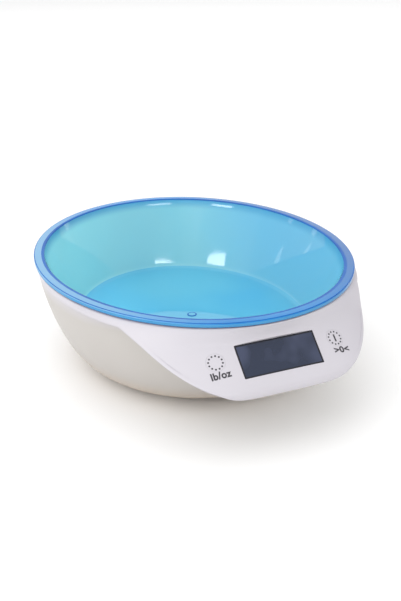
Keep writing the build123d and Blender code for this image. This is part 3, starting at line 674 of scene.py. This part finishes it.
def keyCap(name, side):
    cap = shell.copy()
    cap.data = shell.data.copy()
    cap.name = name
    bpy.context.collection.objects.link(cap)
    cut(cap, keyCutter(name + "Form", side, 0), "INTERSECT")
    return cap


unitCap = keyCap("unitKeyCap", -1)
tareCap = keyCap("tareKeyCap", 1)
for side in (-1, 1):
    cut(shell, keyCutter("keyHole", side, panel["keyGap"]), "DIFFERENCE")
cut(shell, windowCutter(), "DIFFERENCE")
print("panel openings cut")


# ---- prints on the panel: dot rings, the bar, and a plain mark under each key

prints = {
    "raise": 0.03, "thick": 0.05, "dots": 12, "dotSides": 16, "ringRadius": 3.72, "dotRadius": 0.5,
    "bar": (0.95, 4.2), "stroke": 0.036, "letterDepth": 0.01, "letterSpace": 1.05,
    "depths": (-1.0, 12.0), "depthSteps": 26,
    # name, characters, centre across and up the panel, width, height
    "marks": (
        ("unitMark", "lb/oz", -34.4, -4.1, 10.8, 4.1),
        ("tareMark", ">0<", 36.4, -4.05, 9.4, 3.7),
    ),
}


def skinDepth(x, y):
    # how far under the panel's plane the outer skin lies at a place on it
    def outside(depth):
        point = panelMatrix(x, y, depth).translation / mm
        back = shape["middleY"] - (point.y - shift)
        return hypot(point.x, back) >= skinRadius(atan2(point.x, back), point.z)

    low, high = halve(*prints["depths"], prints["depthSteps"], outside)
    return (low + high) / 2


def layOnSkin(piece):
    # moves a flat piece, drawn in the panel's plane in millimetres, onto the curved skin
    for vertex in piece.data.vertices:
        x, y, z = vertex.co
        vertex.co = panelMatrix(x, y, skinDepth(x, y) - z).translation
    piece.data.update()


def dotRing(name, side, barred):
    deselectAll()
    centreX, centreY = side * panel["keyX"], panel["keyY"]
    dots = []
    for number in range(prints["dots"]):
        turn = 2 * pi * (number + 0.5) / prints["dots"]
        spot = (centreX + prints["ringRadius"] * sin(turn),
                centreY + prints["ringRadius"] * cos(turn), prints["raise"])
        bpy.ops.mesh.primitive_cylinder_add(vertices=prints["dotSides"], radius=prints["dotRadius"],
                                            depth=prints["thick"], location=spot)
        dots.append(bpy.context.object)
    if barred:
        bpy.ops.mesh.primitive_cube_add(size=1, location=(centreX, centreY, prints["raise"]))
        bar = bpy.context.object
        bar.scale = (*prints["bar"], prints["thick"])
        bpy.ops.object.transform_apply(location=False, rotation=False, scale=True)
        dots.append(bar)
    deselectAll()
    for dot in dots:
        dot.select_set(True)
    bpy.context.view_layer.objects.active = dots[0]
    bpy.ops.object.join()
    ring = bpy.context.object
    ring.name = name
    settle(ring)
    layOnSkin(ring)
    return ring


def panelMark(name, characters, x, y, width, height):
    deselectAll()
    bpy.ops.object.text_add(location=(0, 0, 0))
    piece = bpy.context.object
    piece.data.body = characters
    piece.data.align_x = "CENTER"
    piece.data.align_y = "CENTER"
    piece.data.offset = prints["stroke"]
    piece.data.extrude = prints["letterDepth"]
    piece.data.space_character = prints["letterSpace"]
    bpy.ops.object.convert(target="MESH")
    piece.name = name
    # the letters are drawn out to the mark's width, height and thickness
    xs = [vertex.co.x for vertex in piece.data.vertices]
    ys = [vertex.co.y for vertex in piece.data.vertices]
    left, wide, low, high = min(xs), max(xs) - min(xs), min(ys), max(ys) - min(ys)
    for vertex in piece.data.vertices:
        vertex.co.x = x + ((vertex.co.x - left) / wide - 0.5) * width
        vertex.co.y = y + ((vertex.co.y - low) / high - 0.5) * height
        half = prints["thick"] / 2
        vertex.co.z = prints["raise"] + (half if vertex.co.z > 0 else -half)
    layOnSkin(piece)
    return piece


rings = [(dotRing("unitRing", -1, False), "unit_key"), (dotRing("tareRing", 1, True), "tare_key")]
for mark in prints["marks"]:
    rings.append((panelMark(*mark), "housing"))
for piece, body in rings:
    paint(piece, printInk)
    hold(piece, body)
print("panel prints laid")


# ---- bowl

dish = {
    "sides": 256, "floorZ": recess["floorZ"], "underZ": 24.5, "rimZ": recess["topZ"],
    "floorHalf": recess["floorHalf"], "rimHalf": recess["rimHalf"], "outerHalf": (94.0, 108.9),
    "wall": 2.0, "innerRound": 5.0,
    "flange": 1.8, "skirtZ": 67.6, "skirtWall": 1.6, "edge": 0.45, "outerEdge": 0.7, "lip": 1.4,
    "gateRadius": 3.0, "gateHeight": 0.3, "gateWidth": 0.8, "gateEdge": 0.1,
    "steps": 8, "floorShares": (0.35, 0.7, 0.9), "edgeTurns": (30, 60, 90),
    "outerTurns": (0, 22, 45, 68, 90), "holding": 0.25, "bevel": 0.25, "underRound": 0.3,
    "underGap": 0.4, "smooth": 40,
}


def bowlOval(z, outward=0.0):
    return slantedOval(dish, dish["rimZ"], z, outward)


def floorToWall(z, outward, radius):
    # the round between the floor and the sloping wall
    slope = atan2(dish["rimHalf"][0] - dish["floorHalf"][0], dish["rimZ"] - dish["floorZ"])
    reach = radius / tan((pi / 2 + slope) / 2)
    base = bowlOval(z, outward)
    made = []
    for step in range(dish["steps"] + 1):
        turn = (pi / 2 - slope) * step / dish["steps"]
        away = -reach + radius * sin(turn)
        rise = radius * (1 - cos(turn))
        wide, long = bowlOval(z + rise, outward)
        lean = (long - base[1]) - (wide - base[0])
        made.append((base[0] + away, base[1] + away + lean, z + rise))
    return made


def wallRings(start, end, steps, outward):
    heights = [start + (end - start) * step / dish["steps"] for step in steps]
    return [(*bowlOval(z, outward), z) for z in heights]


def bowlProfile():
    # rings of half width, half length and height, from the middle of the floor over the rim
    # and back under the floor
    rings = []

    def ring(half, outward, z):
        rings.append((half[0] + outward, half[1] + outward, z))

    floorZ, underZ, rimZ, skirtZ = dish["floorZ"], dish["underZ"], dish["rimZ"], dish["skirtZ"]
    gate, high = (dish["gateRadius"],) * 2, floorZ + dish["gateHeight"]
    ring(gate, -dish["gateWidth"], high)
    ring(gate, -dish["gateEdge"], high)
    ring(gate, 0, high - dish["gateEdge"])
    ring(gate, 0, floorZ)
    inner = floorToWall(floorZ, 0, dish["innerRound"])
    rings += [(inner[0][0] * share, inner[0][1] * share, floorZ) for share in dish["floorShares"]]
    rings += inner
    edge, top, first = dish["edge"], rimZ - dish["edge"], inner[-1][2]
    ring(bowlOval(first + dish["holding"]), 0, first + dish["holding"])
    rings += wallRings(first, top, range(1, dish["steps"] + 1), 0)
    for turn in dish["edgeTurns"]:
        ring(bowlOval(top), edge * (1 - cos(radians(turn))), top + edge * sin(radians(turn)))
    ring(bowlOval(top), edge + dish["lip"], rimZ)
    outer, corner = dish["outerHalf"], dish["outerEdge"]
    for turn in dish["outerTurns"]:
        ring(outer, -corner * (1 - sin(radians(turn))), rimZ - corner * (1 - cos(radians(turn))))
    inside, bevel = dish["skirtWall"], dish["bevel"]
    ring(outer, 0, skirtZ + bevel)
    ring(outer, -bevel, skirtZ)
    ring(outer, bevel - inside, skirtZ)
    ring(outer, -inside, skirtZ + bevel)
    under = rimZ - dish["flange"]
    ring(outer, -inside, under - dish["underRound"])
    ring(outer, -inside - dish["underRound"], under)
    ring(bowlOval(under, dish["wall"]), dish["underGap"], under)
    below = floorToWall(underZ, dish["wall"], dish["innerRound"] + dish["wall"])
    rings += wallRings(under - dish["underGap"], below[-1][2], range(dish["steps"]), dish["wall"])
    rings += reversed(below)
    rings += [(below[0][0] * share, below[0][1] * share, underZ)
              for share in reversed(dish["floorShares"])]
    return rings


def ringedPiece(name, rings, sides):
    # a circle drawn out ring by ring, then closed at both ends
    deselectAll()
    bpy.ops.mesh.primitive_circle_add(vertices=sides, radius=1, fill_type="NOTHING")
    piece = bpy.context.object
    piece.name = name
    halfWidth, halfLength, z = rings[0]
    bpy.ops.object.mode_set(mode="EDIT")
    bpy.ops.mesh.select_all(action="SELECT")
    bpy.ops.transform.resize(value=(halfWidth * mm, halfLength * mm, 1), center_override=(0, 0, 0))
    bpy.ops.transform.translate(value=(0, 0, z * mm))
    bpy.ops.mesh.edge_face_add()
    bpy.ops.mesh.poke()
    bpy.ops.mesh.select_all(action="DESELECT")
    bpy.ops.object.mode_set(mode="OBJECT")
    for edge in piece.data.edges:
        a, b = (piece.data.vertices[i].co for i in edge.vertices)
        edge.select = min(a.xy.length, b.xy.length) > 0.001 * mm
    bpy.ops.object.mode_set(mode="EDIT")
    bpy.ops.mesh.select_mode(type="EDGE")
    for ring in rings[1:]:
        bpy.ops.mesh.extrude_edges_move()
        ratio = (ring[0] / halfWidth, ring[1] / halfLength, 1)
        bpy.ops.transform.resize(value=ratio, center_override=(0, 0, 0))
        bpy.ops.transform.translate(value=(0, 0, (ring[2] - z) * mm))
        halfWidth, halfLength, z = ring
    bpy.ops.mesh.edge_face_add()
    bpy.ops.mesh.poke()
    bpy.ops.mesh.select_all(action="SELECT")
    bpy.ops.transform.translate(value=(0, shift * mm, 0))
    bpy.ops.mesh.normals_make_consistent(inside=False)
    bpy.ops.object.mode_set(mode="OBJECT")
    return piece


bowl = ringedPiece("clearBowl", bowlProfile(), dish["sides"])
smooth(bowl, dish["smooth"])


# how far past each edge of the bowl its colour still reaches
tint = {
    "flangeDown": 0.1, "flangeIn": 0.6, "lipOut": 0.1, "skirtIn": 0.1, "outerLine": 0.62,
    "outerDown": 0.3, "skirtUp": 0.3, "floorUp": 1.2, "gateUp": 0.02, "gateOut": 0.1,
}


def tintRim(piece):
    # deeper blue where the eye looks along the plastic: the flange, and darker at its edges
    piece.data.materials.clear()
    for finish in (clearBlue, rimBlue, edgeBlue, skirtBlue, floorBlue):
        piece.data.materials.append(finish)
    rim, line, skirt, floor = 1, 2, 3, 4
    outer, rimZ = dish["outerHalf"], dish["rimZ"]
    innerOut = dish["rimHalf"][0] - outer[0]
    skirtInside = -dish["skirtWall"] - tint["skirtIn"]
    edgeOutside = innerOut + dish["edge"] + dish["lip"] - tint["lipOut"]
    gateInside = dish["gateRadius"] - dish["gateWidth"]
    gateOutside = dish["gateRadius"] + tint["gateOut"]
    for face in piece.data.polygons:
        x, y, z = face.center.x / mm, face.center.y / mm - shift, face.center.z / mm
        away = (hypot(x / outer[0], y / outer[1]) - 1) * outer[0]
        if z > rimZ - dish["flange"] - tint["flangeDown"] and away > innerOut - tint["flangeIn"]:
            face.material_index = rim
            if z > rimZ - dish["edge"] and away < edgeOutside:
                face.material_index = line
        if z < rimZ - dish["outerEdge"] and away > skirtInside:
            face.material_index = skirt
        if away > -tint["outerLine"] and z > rimZ - tint["outerDown"]:
            face.material_index = line
        if z < dish["skirtZ"] + tint["skirtUp"] and away > skirtInside:
            face.material_index = line
        if z < dish["floorZ"] + tint["floorUp"]:
            face.material_index = floor
        if z > dish["floorZ"] + tint["gateUp"] and gateInside < hypot(x, y) < gateOutside:
            face.material_index = line


tintRim(bowl)
hold(bowl, "bowl", ["bowl"])
print("bowl made", len(bowl.data.polygons))

for piece, body, node in ((shell, "housing", "upper_housing"), (unitCap, "unit_key", "unit_key"),
                          (tareCap, "tare_key", "tare_key")):
    smooth(piece, shape["smooth"])
    paint(piece, whiteShell)
    hold(piece, body, [node])


# ---- finishes of the CAD nodes that stay

finishes = {
    "lower_housing": shadedWhiteShell, "battery_door": shadedWhiteShell, "weighing_platform": platformGrey,
    "load_carrier": platformGrey, "load_cell": cellAlloy, "gauge_coating": coatingWhite,
    "carrier_screws": steel, "load_cell_screws": steel, "board_screws": steel,
    "housing_screws": steel, "display_window": windowClear, "window_tape": blackFilm,
    "display_glass": lcdGlass, "display_frame": whiteFrame, "contact_strips": stripRubber,
    "circuit_board": boardGreen, "unit_switch": blackPlastic, "tare_switch": blackPlastic,
    "unit_switch_plunger": plungerGrey, "tare_switch_plunger": plungerGrey,
    "controller_chip": blackPlastic, "board_components": blackPlastic, "crystal_can": steel,
    "storage_capacitor": cellAlloy, "front_battery": batteryWrap,
    "rear_battery": batteryWrapBack, "positive_contact": contactSteel,
    "negative_contact": contactSteel, "link_contact": contactSteel, "load_cell_leads": leadGrey,
    "positive_battery_lead": leadRed, "negative_battery_lead": leadBlack,
}
for foot in ("front_left", "front_right", "rear_left", "rear_right"):
    finishes[foot + "_foot"] = footRubber
for name, finish in finishes.items():
    paint(nodes[name], finish)
print("finishes given")


# ---- floor and lights

studio = {
    "floor": 16.0, "paper": ((0.93, 0.93, 0.93), 0.7), "world": 0.97,
    # name, place, aim, size, power, roll
    "lights": (
        ("top", (-0.45, -0.1, 1.2), (0, 0, 0.05), (1.6, 1.6), 5.4, 0),
        ("left", (-1.2, -0.5, 0.7), (0, 0, 0.05), (1.8, 1.8), 4.3, 0),
        ("back", (0.3, 1.2, 1.0), (0, 0, 0.05), (1.8, 1.8), 2.2, 0),
        ("pane", (-1.183, -0.458, 0.662), (0.045, 0.073, 0.031), (0.41, 0.056), 1.3, 9.5),
        ("tube", (-0.115, -1.188, 0.757), (0.014, 0.09, 0.03), (0.56, 0.030), 1.1, -1.7),
        ("rightBox", (1.42, 0.305, 0.183), (-0.046, 0.075, 0.035), (0.15, 0.15), 0.15, 0),
        ("leftBoxBack", (-1.17, 0.807, 0.357), (0.071, 0.032, 0.038), (0.08, 0.09), 0.06, 0),
        ("leftBoxFar", (-0.815, 1.204, 0.185), (0.076, 0.010, 0.042), (0.10, 0.13), 0.08, 0),
    ),
}


def face(thing, place, aim, roll):
    # turns a light or the camera towards a point
    thing.rotation_mode = "QUATERNION"
    look = (Vector(aim) - Vector(place)).to_track_quat("-Z", "Y")
    thing.rotation_quaternion = look @ Quaternion((0, 0, 1), radians(roll))


def setStudio():
    deselectAll()
    bpy.ops.mesh.primitive_plane_add(size=studio["floor"])
    floor = bpy.context.object
    floor.name = "studioFloor"
    paint(floor, material("floorPaper", *studio["paper"]))
    for name, place, aim, size, power, roll in studio["lights"]:
        bpy.ops.object.light_add(type="AREA", location=place)
        light = bpy.context.object
        light.name = name + "Light"
        light.data.shape = "RECTANGLE"
        light.data.size, light.data.size_y = size
        light.data.energy = power
        face(light, place, aim, roll)
    world = bpy.data.worlds.new("studioAir")
    bpy.context.scene.world = world
    world.use_nodes = True
    air = world.node_tree.nodes["Background"]
    air.inputs["Color"].default_value = (1, 1, 1, 1)
    air.inputs["Strength"].default_value = studio["world"]
    bpy.context.scene.view_settings.view_transform = "Standard"


setStudio()
print("studio set")

# ---- camera at the photo's angle

cameraShot = {
    "place": (-0.21592, -0.49168, 0.27632), "aim": (0.003525, 0.003913, 0.0375),
    "lens": 57.25, "sensor": 36, "near": 0.01, "roll": -0.221,
}


def setCamera():
    bpy.ops.object.camera_add(location=cameraShot["place"])
    camera = bpy.context.object
    face(camera, cameraShot["place"], cameraShot["aim"], cameraShot["roll"])
    camera.data.lens = cameraShot["lens"]
    camera.data.sensor_width = cameraShot["sensor"]
    camera.data.clip_start = cameraShot["near"]
    bpy.context.scene.camera = camera


setCamera()
print("camera set")
